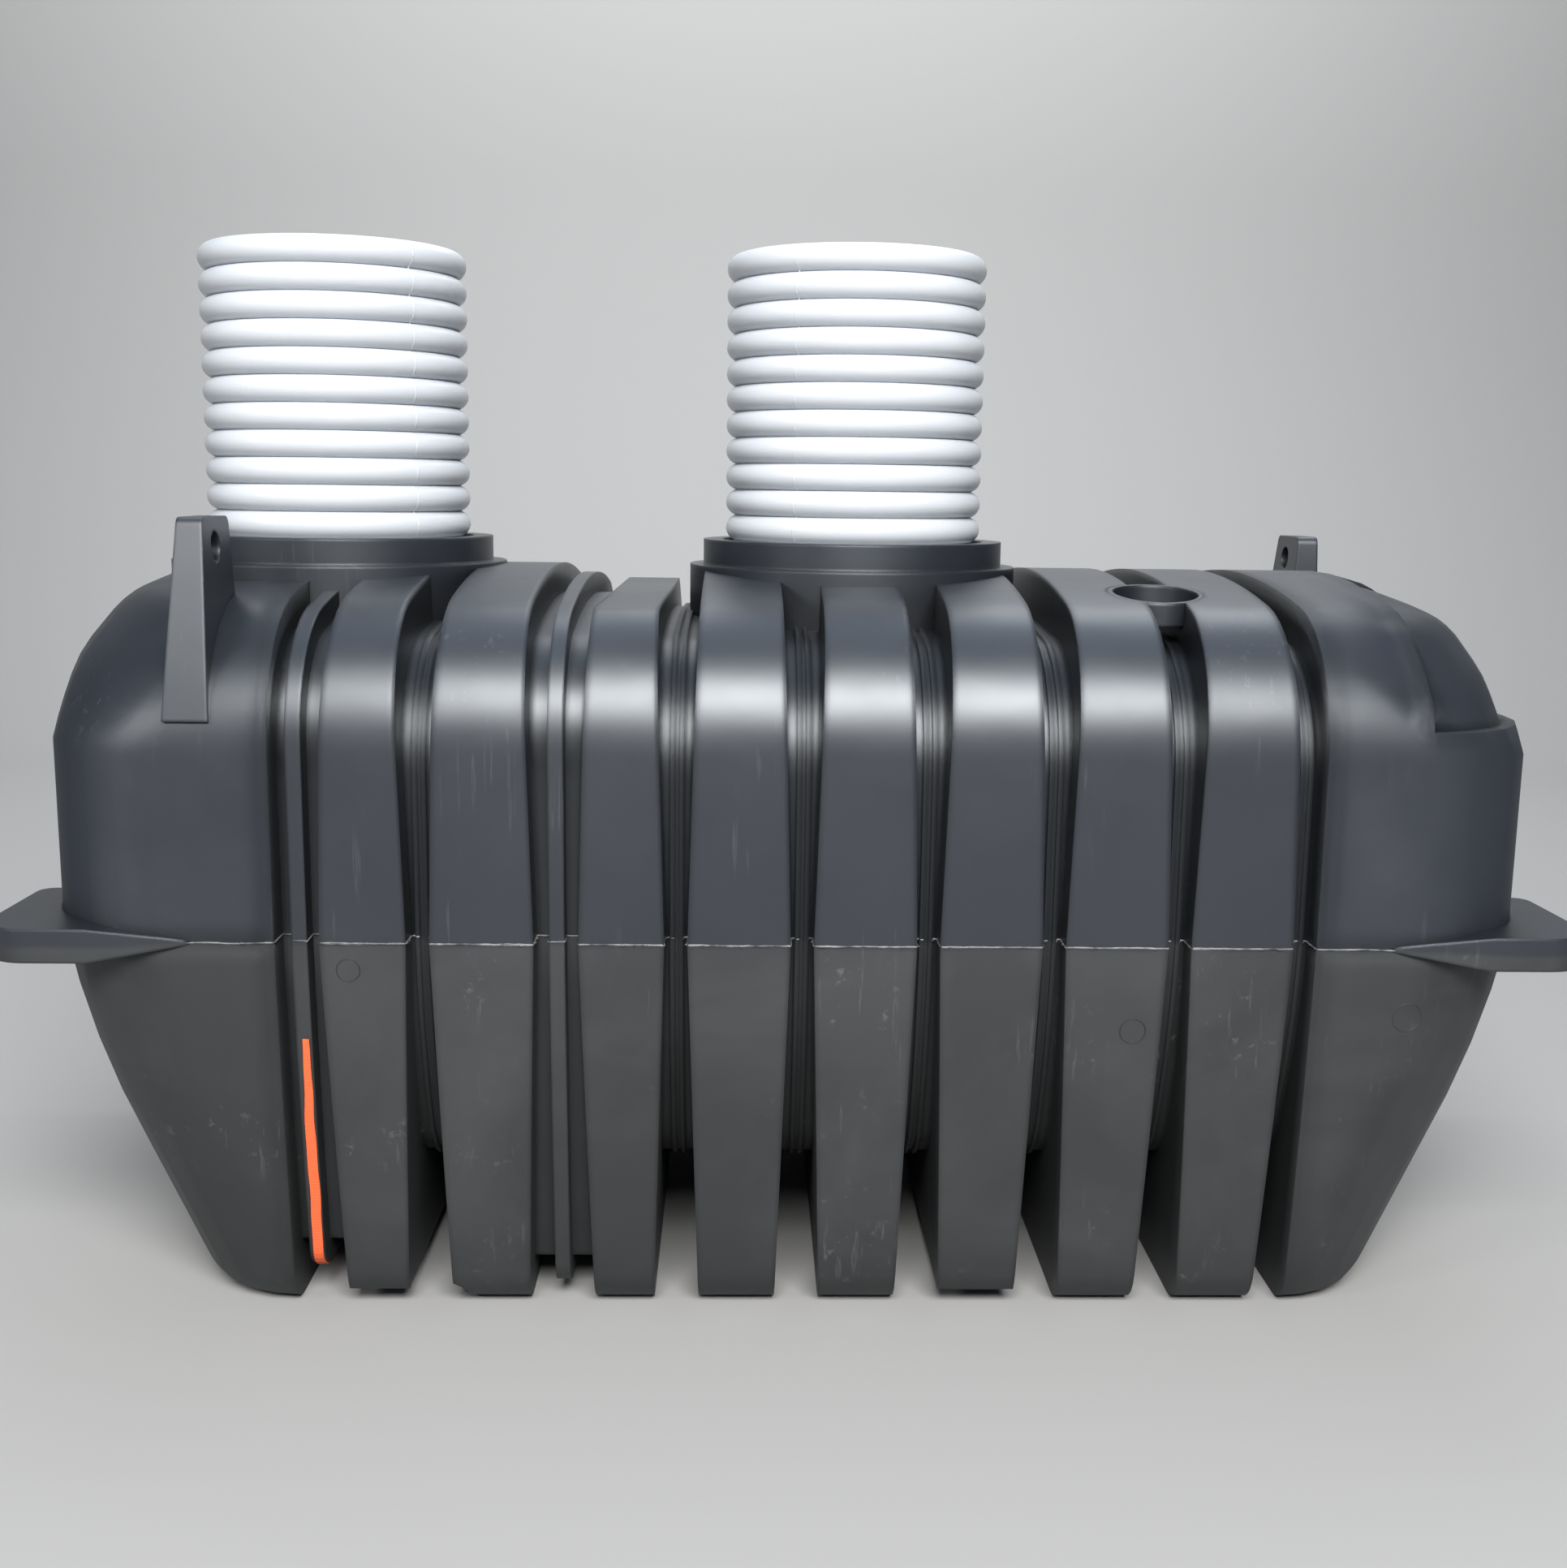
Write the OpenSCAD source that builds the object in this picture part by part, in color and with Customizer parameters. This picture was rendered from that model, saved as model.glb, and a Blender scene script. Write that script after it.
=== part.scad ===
// Buried septic tank, rotomoulded in one black shell, with two corrugated risers.
// Millimetres. +Z is up and the floor is z = 0. The long side runs along X.
// The front is towards -Y. Ribs are numbered from the left end.

/* [Body] */
// half depth of the ribs at the seam
half_depth = 560; // [540:1:575]
// height of the mould seam above the floor
seam_z = 589; // [580:1:600]
// height of the rib crowns
crown_z = 1114; // [1105:1:1118]
// how far below the crown the upright wall turns into the arch
arch_drop = 246; // [234:1:264]
// radius of the shoulder arc of a rib
shoulder_r = 215; // [195:1:225]
// lean of the rib fronts below the seam, degrees
rib_lean = 3; // [0:0.5:4]
// how far the flat under a rib lies inside the rib front
foot_inset = 105; // [95:1:120]
// radius of the arc between the flat and the side
foot_r = 62; // [50:1:70]
// wall thickness of the moulded shell
wall = 8; // [6:0.5:10]

/* [Barrel between the ribs] */
// depth of a groove at the seam
groove_depth = 46; // [40:1:50]
// depth of a groove at the crown
crown_groove = 80; // [70:1:84]
// height of the barrel bottom above the floor
belly_z = 185; // [178:1:195]
// radius of the belly arc
belly_r = 150; // [130:1:160]
// how far the belly flat lies inside the rib front
belly_inset = 260; // [250:1:270]

/* [Ribs] */
// width of a wide rib at the seam
rib_wide = 151; // [148:1:153]
// width of a narrow rib at the seam
rib_narrow = 125; // [120:1:127]
// plain groove between two ribs
gap = 34; // [32:0.5:36]
// groove that holds a thin hoop
hoop_gap = 65; // [62:1:68]
// draft of the rib sides above the seam, degrees
draft_up = 1.6; // [1:0.1:2]
// draft of the rib sides below the seam, degrees
draft_down = 1.7; // [1.2:0.1:2]
// how much lower the flat top of rib 3 is
low_top = 45; // [38:1:50]
// how much shorter the feet of ribs 1 and 6 are
short_foot = 28; // [20:1:32]
// radius of the bite in the left foot corner of rib 2
notch_r = 42; // [36:1:46]
// thin hoop width
hoop_width = 23; // [20:1:26]
// how far the thin hoops lie inside the rib fronts
hoop_inset = 16; // [12:1:20]
// depth of the wide grooves, all around
wide_depth = 52; // [48:1:56]
// how far the wide groove at the left end rises above the rib feet
left_groove_rise = 36; // [30:1:42]
// how far the wide groove behind rib 2 rises above the rib feet
mid_groove_rise = 9; // [4:1:14]
// fine ridge width in the grooves
ridge_width = 6; // [5:0.5:7]
// fine ridge height
ridge_height = 6; // [5:0.5:7]

// radius of the nub under rib 1
nub_r = 19; // [17:1:21]
// nub place behind the front edge of the foot
nub_y = 15; // [0:1:30]

/* [Crown port and strap] */
// radius of the round port on the crown
port_r = 74; // [70:1:78]
// how far the port centre lies behind the front
port_set_back = 260; // [250:1:270]
// how far the port underside lies below the crown
port_sink = 68; // [62:1:72]
// width of the strap end
strap_width = 16; // [14:1:18]
// thickness of the strap
strap_thick = 3; // [2:0.5:4]
// strap place from the middle of its hoop
strap_shift = 2; // [-2:0.5:2.5]
// height that the strap reaches up the front
strap_top_z = 436; // [420:1:460]
// how far the strap runs back from the front, under the tank
strap_run = 360; // [260:10:400]
// slant of the strap tip, degrees
strap_taper = 2.6; // [2:0.2:3.2]

/* [Ends] */
// length over both ends at the seam
body_length = 2234; // [2220:1:2245]
// how far the ribs lie to the right of the middle
ribs_shift = 5; // [0:0.5:8]
// radius of the top corner of an end, seen from the front
end_top_r = 152; // [140:1:165]
// radius of the upright corners of an end, seen from above
end_plan_r = 185; // [170:1:200]
// radius that these corners grow to at the crown
crown_plan_r = 420; // [380:1:440]
// radius that these corners grow to at the keel
keel_plan_r = 240; // [200:1:260]
// radius of the keel corner
keel_r = 50; // [40:1:60]
// lean of the keel below the seam, degrees
keel_lean = 6.5; // [5:0.5:8]
// run of the keel from the end to its flat
keel_run = 240; // [225:1:250]
// depth of the pocket in the right end
pocket_depth = 22; // [18:1:26]
// how far the pocket ledge lies below the crown
pocket_drop = 205; // [199:1:214]
// where the pocket starts, from the right end
pocket_run = 195; // [180:1:205]
// how far the pocket reaches behind the middle plane
pocket_back = 120; // [80:5:150]

/* [Corner ears and lifting lugs] */
// reach of an ear past the end
ear_reach = 63; // [56:1:72]
// length of an ear along the tank, from the end
ear_run = 240; // [230:1:250]
// length over which an ear fades into the wall
ear_fade = 145; // [130:1:155]
// depth of an ear from the front of the tank to its back edge
ear_deep = 240; // [230:1:250]
// how far an ear stands out from the front
ear_out = 20; // [16:1:24]
// corner radius of an ear
ear_r = 70; // [60:1:80]
// thickness of an ear
ear_thick = 50; // [46:1:54]
// how far an ear reaches below the seam
ear_drop = 27; // [24:1:30]
// rise of the front lug above the crown
lug_front_rise = 83; // [78:1:88]
// rise of the back lug above the crown
lug_back_rise = 50; // [46:1:56]
// height of a lug from its foot on the wall to its top
lug_height = 286; // [276:1:292]
// thickness of a lug at its top
lug_thick = 37; // [34:1:40]
// width of a lug at its foot
lug_foot_w = 66; // [60:1:72]
// corner radius of a lug
lug_r = 14; // [10:1:18]
// how far the middle of the front lug lies beyond the ribs
lug_front_out = 114; // [109:1:119]
// how far the middle of the back lug lies inside the right end
lug_back_in = 99; // [95:1:107]
// how far the outer top edge of a lug lies inside the wall
lug_set_in = 60; // [54:1:66]
// depth of a lug at its top
lug_deep = 130; // [120:1:140]
// lifting hole radius
lug_hole_r = 22; // [20:0.5:24]
// lifting hole centre below the top of the lug
lug_hole_drop = 43; // [38:1:46]
// lifting hole centre behind the outer top edge
lug_hole_back = 55; // [50:1:62]

/* [Necks and risers] */
// how far above the seam the neck skirts start
skirt_rise = 100; // [80:5:140]
// left neck position
neck_left_x = -767; // [-772:1:-762]
// right neck position
neck_right_x = 106; // [100:1:112]
// radius of the neck skirt
skirt_r = 278; // [272:1:282]
// radius of the neck collar
collar_r = 255; // [250:1:260]
// how far the collar rim stands above the crown
collar_rise = 46; // [42:1:50]
// height of the collar band
collar_band = 42; // [38:1:44]
// radius of the collar bore
collar_bore = 222; // [220:0.5:224]
// outer radius of the riser rings
ring_r = 217; // [214:0.5:218]
// outer radius of the riser between its rings
riser_r = 195; // [193:0.5:197]
// wall of the riser
riser_wall = 6; // [5:0.5:7]
// distance from ring to ring
ring_pitch = 42.7; // [42.5:0.1:43]
// height of the riser tops
riser_top_z = 1628; // [1622:1:1636]

/* [Hidden] */
$fn = 72;
reach = 3000;
lap = 50;
slack = 2;
arch_start_z = crown_z - arch_drop;
port_floor_z = crown_z - port_sink;
pocket_z = crown_z - pocket_drop;
collar_z = crown_z + collar_rise;
foot_half = half_depth - foot_inset;
belly_half = half_depth - belly_inset;
port_y = port_set_back - half_depth;
half_length = body_length / 2;
lug_back_x = half_length - lug_back_in;
rib_count = 8;
wide_gaps = [0, 2];
port_gap = 7;
shoulder_z = collar_z - collar_band;
riser_seat = shoulder_z - wall;
ring_count = floor((riser_top_z - riser_seat) / ring_pitch);
widths = [for (i = [0 : rib_count - 1]) i == 0 || i == 2 ? rib_narrow : rib_wide];
gaps = [hoop_gap, gap, hoop_gap, gap, gap, gap, gap, gap, gap];
function total(v, n) = n <= 0 ? 0 : v[n - 1] + total(v, n - 1);
rib_span = total(widths, rib_count) + total(gaps, rib_count + 1);
left_face = -rib_span / 2 + ribs_shift;
right_face = rib_span / 2 + ribs_shift;
lug_front_x = left_face - lug_front_out;
function rib_left(i) = left_face + total(widths, i) + total(gaps, i + 1);
function rib_mid(i) = rib_left(i) + widths[i] / 2;
function gap_mid(i) = left_face + total(widths, i) + total(gaps, i) + gaps[i] / 2;

// ---- outlines, all drawn with y as the first axis and z as the second ----

// points along an arc about c from angle a to angle b
function arc(c, r, a, b, n) = [for (k = [0 : n]) c + r * [cos(a + (b - a) * k / n), sin(a + (b - a) * k / n)]];

// radius of the arc that starts at a lean and meets a corner arc of radius r, over a run and a drop
function side_radius(run, drop, r, lean = 0) =
    (run * run + drop * drop - r * r) / (2 * (run * cos(lean) - drop * sin(lean) - r));

// wall below the seam: a long leaning arc from p, then the foot arc, t inside the skin
function lower_side(p, run, drop, r, lean, t) =
    let (big = side_radius(run, drop, r, lean),
        c = p + big * [-cos(lean), sin(lean)],
        foot = p - [run, drop],
        fall = atan2(c[1] - foot[1], foot[0] - c[0]))
    concat(arc(c, big - t, -lean, -fall, 6), arc(foot, r - t, -fall, -90, 7));

// right half of an outline across the body, t inside its skin:
// crown arc, shoulder arc, upright wall, long side arc, foot arc
function half_outline(w, top, start, rs, bottom, foot, rf, lean, t) =
    let (crown = side_radius(top - start, w - rs, rs),
        low = top - crown,
        turn = atan2(start - low, w - rs))
    concat(arc([0, low], crown - t, 90, turn, 6),
        arc([w - rs, start], rs - t, turn, 0, 10),
        lower_side([w, seam_z], w - foot, seam_z - bottom - rf, rf, lean, t));

// a half outline and its mirror image
module both_halves(half) {
    n = len(half);
    polygon(concat(half, [for (k = [n - 1 : -1 : 1]) [-half[k][0], half[k][1]]]));
}

// outline across a rib
module rib_outline(t = 0) {
    both_halves(half_outline(half_depth, crown_z, arch_start_z, shoulder_r, 0, foot_half, foot_r, rib_lean, t));
}

// outline across a wide groove, whose bottom lies higher than the rib feet
module wide_outline(i, t) {
    rise = i == 0 ? left_groove_rise : mid_groove_rise;
    both_halves(half_outline(half_depth, crown_z, arch_start_z, shoulder_r, rise, foot_half, foot_r, rib_lean, t));
}

// outline across the barrel
module barrel_outline(t = 0) {
    both_halves(half_outline(half_depth - groove_depth, crown_z - crown_groove,
        arch_start_z - crown_groove / 2, shoulder_r - groove_depth / 2,
        belly_z, belly_half, belly_r, rib_lean, t));
}

// an outline drawn across the tank becomes a prism along X, centred on x
module along(x, width) {
    translate([x - width / 2, 0, 0]) rotate([90, 0, 90]) linear_extrude(height = width) children();
}

// ---- moulded body ----

// the wedges that draft takes off both sides of a rib, t inside its skin
module draft_cuts(x, width, t) {
    for (s = [0, 1]) translate([x, 0, seam_z]) mirror([s, 0, 0]) translate([width / 2 - t, 0, 0]) {
        rotate([0, -draft_up, 0]) translate([0, -reach / 2, -lap]) cube(reach);
        rotate([0, draft_down, 0]) translate([0, -reach / 2, lap - reach]) cube(reach);
    }
}

// solid form of rib i, t inside its skin
module rib_form(i, t = 0) {
    difference() {
        along(rib_mid(i), widths[i] + (t > 0 ? 0 : slack)) rib_outline(t);
        draft_cuts(rib_mid(i), widths[i], t);
        if (i == 2) translate([-reach / 2, -reach / 2, crown_z - low_top - t]) cube(reach);
        if (i == 0 || i == 5) translate([-reach / 2, -reach / 2, short_foot + t - reach]) cube(reach);
        if (i == 1) translate([rib_left(i), -half_depth, 0]) rotate([-90, 0, 0])
            cylinder(r = notch_r + t, h = 2 * foot_inset + t);
    }
}

// clear space inside: the barrel through both ends' inner walls, and the two wide grooves
module inner_space() {
    along(ribs_shift, rib_span + 2 * wall + slack) barrel_outline(wall);
    for (i = wide_gaps) along(gap_mid(i), hoop_gap + lap) wide_outline(i, wide_depth + wall);
}

// the skirts of both necks as solid posts
module skirt_posts() {
    for (x = [neck_left_x, neck_right_x])
        translate([x, 0, seam_z + skirt_rise]) cylinder(r = skirt_r, h = reach);
}

module rib(i) {
    color("#2b2d30") difference() {
        rib_form(i);
        rib_form(i, wall);
        inner_space();
        if (i == port_gap - 1 || i == port_gap) port_post();
        skirt_posts();
    }
}

// groove floor between two ribs, with its fine ridges
module band(i) {
    color("#26282b") difference() {
        union() {
            if (gaps[i] == gap) {
                along(gap_mid(i), gap + lap) barrel_outline();
                for (s = [-1, 1]) along(gap_mid(i) + s * gap / 5, ridge_width) barrel_outline(-ridge_height);
            } else along(gap_mid(i), hoop_gap + lap) wide_outline(i, wide_depth);
        }
        inner_space();
        if (i > 0) rib_form(i - 1);
        if (i < rib_count) rib_form(i);
        if (i == 0) end_block(-1);
        if (i == rib_count) end_block(1);
        if (i == port_gap) port_post();
        skirt_posts();
    }
}

// thin hoop in a wide groove
module hoop(i) {
    color("#2b2d30") difference() {
        along(gap_mid(i), hoop_width) wide_outline(i, hoop_inset);
        along(gap_mid(i), hoop_width + slack) wide_outline(i, wide_depth);
        skirt_posts();
    }
}

// round post that the crown port takes out of the ribs beside it
module port_post() {
    translate([gap_mid(port_gap), port_y, port_floor_z]) cylinder(r = port_r, h = reach);
}

// dished round port, sunk into the crown between two ribs
module port() {
    color("#2b2d30") difference() {
        intersection() {
            port_post();
            along(gap_mid(port_gap), 4 * port_r) rib_outline();
        }
        translate([gap_mid(port_gap), port_y, port_floor_z + wall]) cylinder(r = port_r - wall, h = reach);
    }
}

// end of a strap left lying on the left hoop
module strap() {
    color("#f0713a") intersection() {
        difference() {
            along(gap_mid(0) + strap_shift, strap_width) wide_outline(0, hoop_inset - strap_thick);
            along(gap_mid(0), reach) wide_outline(0, hoop_inset);
        }
        translate([-reach, -half_depth, 0]) cube([2 * reach, strap_run, strap_top_z]);
        translate([gap_mid(0) + strap_shift + strap_width / 2, -reach / 2, strap_top_z])
            rotate([0, 180 + strap_taper, 0]) cube([reach, reach, reach]);
    }
}

// small rounded nub under the first rib
module foot_nub() {
    color("#3c3e40") difference() {
        translate([rib_mid(0) - rib_narrow / 6, nub_y - foot_half, nub_r]) {
            sphere(r = nub_r);
            cylinder(r = nub_r, h = short_foot);
        }
        rib_form(0);
    }
}

// everything beyond the inner face of an end
module end_block(s) {
    x = s < 0 ? left_face : right_face;
    translate([s < 0 ? x - reach : x, -reach / 2, -1]) cube([reach, reach, reach]);
}

// how far an end reaches at height z, t inside its skin: corner arc, upright wall, keel arcs
function end_reach(z, t) =
    let (top = crown_z - end_top_r,
        big = side_radius(keel_run, seam_z - keel_r, keel_r, keel_lean),
        c = [half_length - big * cos(keel_lean), seam_z + big * sin(keel_lean)],
        foot = half_length - keel_run,
        fall = atan2(c[1] - keel_r, foot - c[0]))
    z > top ? half_length - end_top_r + sqrt(max(0, pow(end_top_r - t, 2) - pow(z - top, 2)))
    : z > seam_z ? half_length - t
    : z > keel_r - keel_r * sin(fall) ? c[0] + sqrt(pow(big - t, 2) - pow(z - c[1], 2))
    : foot + sqrt(max(0, pow(keel_r - t, 2) - pow(z - keel_r, 2)));

// radius of the upright corners of an end at height z: widest at the crown and at the keel
function corner_radius(z) =
    z < seam_z ? end_plan_r + (keel_plan_r - end_plan_r) * (seam_z - z) / seam_z
    : end_plan_r + (crown_plan_r - end_plan_r) * max(0, z - arch_start_z) / (crown_z - arch_start_z);

// one level of an end seen from above, as points at height z, with half depth d
function end_level(d, z, face, t) =
    let (length = end_reach(z, t),
        r = min(corner_radius(z) - t, 0.98 * d, 0.98 * (length - face)),
        c = [length - r, d - r])
    [for (p = concat([[face, -d]], arc([c[0], -c[1]], r, -90, 0, 6), arc(c, r, 0, 90, 6), [[face, d]]))
        [p[0], p[1], z]];

// solid form of one end, t inside its skin: a smooth skin over the levels of the rib outline
module end_form(s, t = 0) {
    face = (s < 0 ? -left_face : right_face) + t;
    outline = half_outline(half_depth, crown_z, arch_start_z, shoulder_r, 0, foot_half, foot_r, rib_lean, t);
    points = [for (p = outline) each end_level(max(p[0], foot_inset / 2), p[1], face, t)];
    rotate([0, 0, s < 0 ? 180 : 0]) hull()
        polyhedron(points, [[for (k = [0 : len(points) - 1]) k]]);
}

// the end form, stepped in by the pocket on the right, t inside its skin
module end_body(s, t = 0) {
    difference() {
        end_form(s, t);
        if (s > 0) difference() {
            translate([half_length - pocket_run - t, pocket_back + t - reach, pocket_z - t]) cube(reach);
            end_form(s, pocket_depth + t);
        }
    }
}

// shell of one end above the seam
module end_upper(s) {
    color("#2b2d30") difference() {
        end_body(s);
        end_body(s, wall);
        inner_space();
        skirt_posts();
        translate([-reach / 2, -reach / 2, seam_z - reach]) cube(reach);
    }
}

// shell of one end below the seam
module end_lower(s) {
    color("#3c3e40") difference() {
        end_form(s);
        end_form(s, wall);
        inner_space();
        translate([-reach / 2, -reach / 2, seam_z]) cube(reach);
    }
}

// ---- necks and risers ----

// skirt in the grooves, flat shoulder, ledge that the riser stands on, and collar
module neck(x) {
    color("#2b2d30") {
        difference() {
            translate([x, 0, seam_z + skirt_rise])
                cylinder(r = skirt_r, h = riser_seat - wall - seam_z - skirt_rise);
            translate([x, 0, 0]) cylinder(r = skirt_r - wall, h = reach);
            inner_space();
            for (i = [0 : rib_count - 1]) if (abs(rib_mid(i) - x) < skirt_r + rib_wide / 2) rib_form(i, wall);
            if (x - skirt_r < left_face) end_form(-1, wall);
        }
        difference() {
            translate([x, 0, 0]) {
                translate([0, 0, riser_seat - wall]) cylinder(r = skirt_r, h = 2 * wall);
                translate([0, 0, riser_seat - wall]) cylinder(r = collar_r, h = collar_z - riser_seat + wall);
            }
            translate([x, 0, 0]) cylinder(r = riser_r - riser_wall, h = reach);
            translate([x, 0, riser_seat]) cylinder(r = collar_bore, h = reach);
        }
    }
}

// corrugated pipe, standing on the ledge in its neck
module riser(x) {
    color("#e6e8ee") translate([x, 0, 0]) rotate_extrude() {
        translate([riser_r - riser_wall, riser_seat]) square([riser_wall, riser_top_z - riser_seat]);
        for (k = [0 : ring_count - 1]) translate([riser_r, riser_top_z - (k + 0.5) * ring_pitch])
            intersection() {
                circle(r = ring_r - riser_r);
                translate([-1, -ring_pitch / 2]) square([ring_r, ring_pitch]);
            }
    }
}

// ---- plates and lugs ----

// flat ear that squares off a rounded corner of an end at the seam, and fades into the wall
module ear(s, t) {
    color("#2b2d30") difference() {
        mirror([s < 0 ? 1 : 0, 0, 0]) mirror([0, t < 0 ? 1 : 0, 0]) intersection() {
            translate([0, 0, seam_z - ear_drop]) linear_extrude(height = ear_thick) ear_plan();
            translate([0, reach, 0]) rotate([90, 0, 0]) linear_extrude(height = reach) ear_side();
        }
        end_form(s);
    }
}

// an ear seen from above, on the back right corner
module ear_plan() {
    tip = [half_length + ear_reach, half_depth - ear_deep];
    start = half_length - ear_run;
    polygon(concat([[start, half_depth - ear_reach], [start, half_depth],
            [start + ear_fade, half_depth + ear_out]],
        arc([tip[0] - ear_r, half_depth + ear_out - ear_r], ear_r, 90, 0, 9),
        arc([tip[0] - ear_r / 3, tip[1] + ear_r / 3], ear_r / 3, 0, -90, 5),
        [[half_length - ear_reach, tip[1]]]));
}

// an ear seen from the front, on the right
module ear_side() {
    start = half_length - ear_run;
    low = seam_z - ear_drop;
    polygon([[start, seam_z - ear_drop / 9], [start + ear_fade, low], [reach, low],
        [reach, low + ear_thick], [start + ear_fade, low + ear_thick], [start, seam_z + ear_drop / 9]]);
}

// lug with a buttress foot that runs down the wall of an end
module lug(s, x, rise) {
    top = crown_z + rise;
    color("#2b2d30") difference() {
        rotate([0, 0, s < 0 ? 180 : 0]) translate([abs(x), 0, 0]) difference() {
            intersection() {
                translate([0, reach / 2, 0]) rotate([90, 0, 0]) linear_extrude(height = reach)
                    polygon([[-lug_thick / 2, top], [lug_thick / 2, top],
                        [lug_foot_w / 2, top - lug_height], [-lug_foot_w / 2, top - lug_height]]);
                along(0, reach) lug_side(top);
            }
            translate([0, half_depth - lug_set_in - lug_hole_back, top - lug_hole_drop]) rotate([0, 90, 0])
                cylinder(r = lug_hole_r, h = 4 * lug_thick, center = true);
        }
        end_form(s);
    }
}

// a lug seen from the side, with rounded top corners
module lug_side(top) {
    out = half_depth - lug_set_in;
    polygon(concat([[out - lug_deep, top - lug_height]],
        arc([out - lug_deep + lug_r, top - lug_r], lug_r, 180, 90, 5),
        arc([out - lug_r, top - lug_r], lug_r, 90, 10, 5),
        [[half_depth, top - lug_height]]));
}

end_upper(-1);  // end_left_upper
end_lower(-1);  // end_left_lower
end_upper(1);  // end_right_upper
end_lower(1);  // end_right_lower
rib(0);  // rib_1
rib(1);  // rib_2
rib(2);  // rib_3
rib(3);  // rib_4
rib(4);  // rib_5
rib(5);  // rib_6
rib(6);  // rib_7
rib(7);  // rib_8
band(0);  // band_1
band(1);  // band_2
band(2);  // band_3
band(3);  // band_4
band(4);  // band_5
band(5);  // band_6
band(6);  // band_7
band(7);  // band_8
band(8);  // band_9
hoop(0);  // hoop_left
hoop(2);  // hoop_mid
port();
strap();
foot_nub();
neck(neck_left_x);  // neck_left
neck(neck_right_x);  // neck_right
riser(neck_left_x);  // riser_left
riser(neck_right_x);  // riser_right
ear(-1, -1);  // ear_front_left
ear(1, -1);  // ear_front_right
ear(-1, 1);  // ear_back_left
ear(1, 1);  // ear_back_right
lug(-1, lug_front_x, lug_front_rise);  // lug_front
lug(1, lug_back_x, lug_back_rise);  // lug_back
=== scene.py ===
# %% [markdown]
# # Septic tank: looks
# The frame brings every solid of the tank. This script gives each of them its surface,
# adds the small moulded details, and sets the floor, the light and the camera. The shapes come
# with the frame, so most of the work here is in how light meets the surface.

# %% Load the frame
import math
import random
import bpy
import bmesh
from mathutils import Vector, Matrix
from mathutils.bvhtree import BVHTree


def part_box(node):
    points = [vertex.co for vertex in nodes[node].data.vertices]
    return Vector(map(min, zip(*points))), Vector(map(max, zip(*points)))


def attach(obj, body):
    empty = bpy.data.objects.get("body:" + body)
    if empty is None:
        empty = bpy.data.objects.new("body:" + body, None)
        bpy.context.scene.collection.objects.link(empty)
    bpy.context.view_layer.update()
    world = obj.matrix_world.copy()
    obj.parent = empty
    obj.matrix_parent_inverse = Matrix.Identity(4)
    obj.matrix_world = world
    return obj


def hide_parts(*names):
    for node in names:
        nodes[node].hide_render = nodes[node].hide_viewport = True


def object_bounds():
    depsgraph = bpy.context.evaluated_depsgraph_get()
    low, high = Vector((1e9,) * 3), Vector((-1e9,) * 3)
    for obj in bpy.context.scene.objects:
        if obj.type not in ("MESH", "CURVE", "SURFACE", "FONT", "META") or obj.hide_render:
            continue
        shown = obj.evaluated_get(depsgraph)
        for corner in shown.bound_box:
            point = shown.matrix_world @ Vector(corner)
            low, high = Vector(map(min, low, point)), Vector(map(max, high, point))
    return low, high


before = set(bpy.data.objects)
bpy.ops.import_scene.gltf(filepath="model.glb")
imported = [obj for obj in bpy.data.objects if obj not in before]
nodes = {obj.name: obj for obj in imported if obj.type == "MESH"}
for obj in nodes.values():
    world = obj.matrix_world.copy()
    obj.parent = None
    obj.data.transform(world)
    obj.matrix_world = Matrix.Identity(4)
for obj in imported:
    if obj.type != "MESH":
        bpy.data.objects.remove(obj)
cad_low, cad_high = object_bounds()
random.seed(7)
print("nodes:", len(nodes), "box:", [round(v, 3) for v in (*cad_low, *cad_high)])

# %% [markdown]
# ## Measures
# The tank was moulded in two halves that meet at the seam, and most details keep a height above or
# below it. The places come from the boxes of the solids. Typed numbers would be shorter, but then
# a detail would stay behind when a solid changes.

# %% Read the places
seam_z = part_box("end_left_lower")[1][2]
mould_line_z = 0.2 * seam_z
ribs = ["rib_%d" % i for i in range(1, 9)]
bands = ["band_%d" % i for i in range(1, 10)]
ends = ["end_left_upper", "end_left_lower", "end_right_upper", "end_right_lower"]
fittings = ["hoop_left", "hoop_mid", "neck_left", "neck_right", "lug_front", "lug_back", "port",
            "foot_nub", "ear_front_left", "ear_front_right", "ear_back_left", "ear_back_right"]
risers = ["riser_left", "riser_right"]
print("seam height %.3f m, mould line at %.3f m" % (seam_z, mould_line_z))

# %% [markdown]
# ## Small helpers for node trees
# A material is a tree of nodes. Joining every socket by hand is long and hard to read, so each
# helper adds one node, sets its plain values and joins its inputs.

# %% Node helpers
def put(tree, kind, values=None, links=None, **props):
    """Add one node, set its properties and socket values, and join the given outputs to it."""
    node = tree.nodes.new(kind)
    for key, value in props.items():
        setattr(node, key, value)
    for key, value in (values or {}).items():
        node.inputs[key].default_value = value
    for key, source in (links or {}).items():
        tree.links.new(source, node.inputs[key])
    return node


def ramp(tree, source, stops):
    """Colour ramp from a value, with stops given as (place, grey or colour)."""
    node = put(tree, "ShaderNodeValToRGB", links={"Fac": source})
    node.color_ramp.elements[0].position = stops[0][0]
    node.color_ramp.elements[1].position = stops[-1][0]
    for place, _ in stops[1:-1]:
        node.color_ramp.elements.new(place)
    for element, (place, colour) in zip(node.color_ramp.elements, stops):
        grey = colour if isinstance(colour, tuple) else (colour, colour, colour)
        element.position = place
        element.color = (*grey, 1)
    return node.outputs["Color"]


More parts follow.
